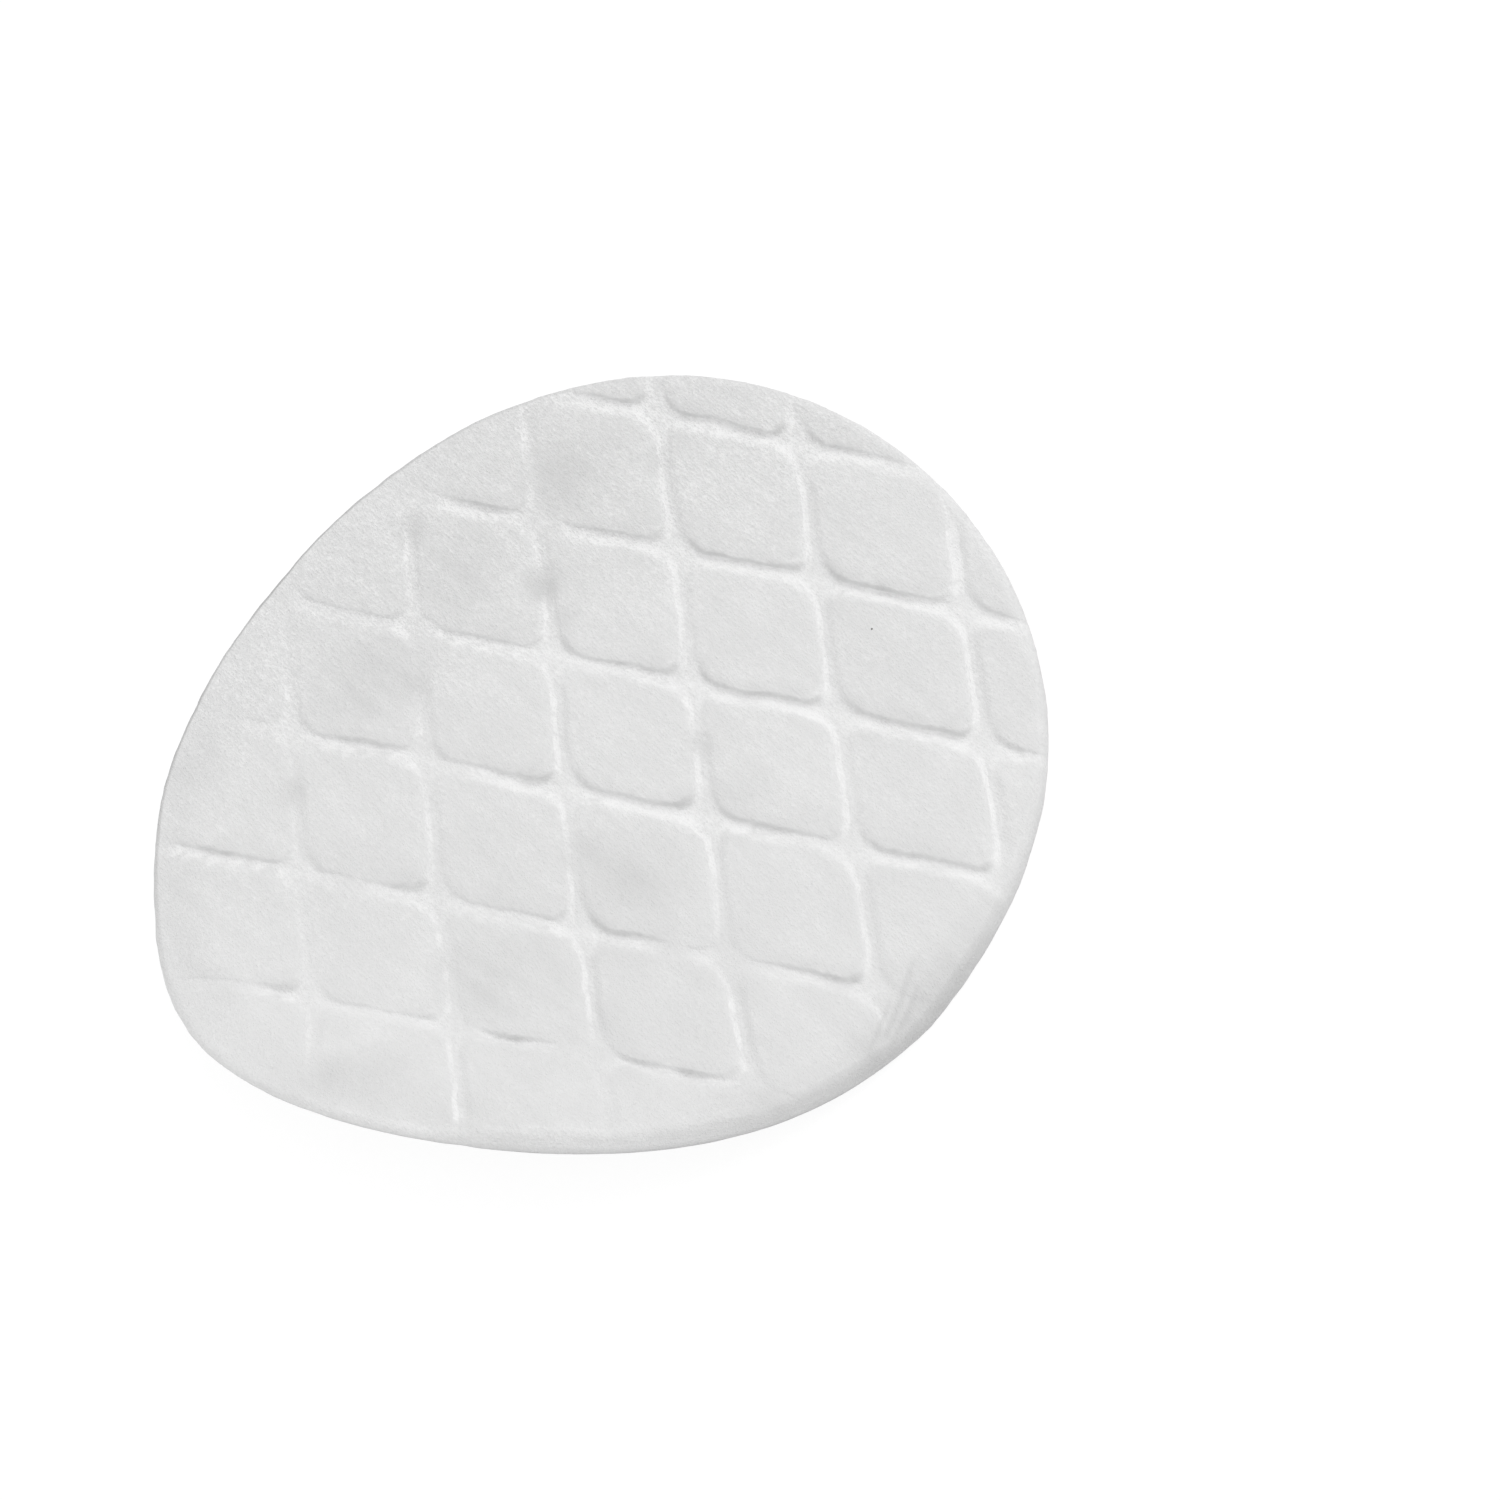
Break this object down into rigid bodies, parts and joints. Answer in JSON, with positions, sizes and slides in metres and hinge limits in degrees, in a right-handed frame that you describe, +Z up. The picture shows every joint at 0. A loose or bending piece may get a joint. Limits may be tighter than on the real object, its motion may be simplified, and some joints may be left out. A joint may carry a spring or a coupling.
{
  "type": "cotton pad",
  "caption": "Round quilted cotton pad with pressed diamond grooves and a die-cut edge, lying face up with a slight curl on two sides.",
  "frame": {"origin": "under the middle of the pad's box, on the surface that it lies on", "axes": "+Z up, out of the quilted face; the pictured view looks from -Y; the curl's axis runs from +X -Y to -X +Y"},
  "size_m": [0.0566, 0.0566, 0.0067],
  "materials": {
    "cotton": "matt white needled cotton, fine brushed fibres"
  },
  "bodies": {
    "root": {"cotton_pad": "cotton"}
  },
  "joints": []
}
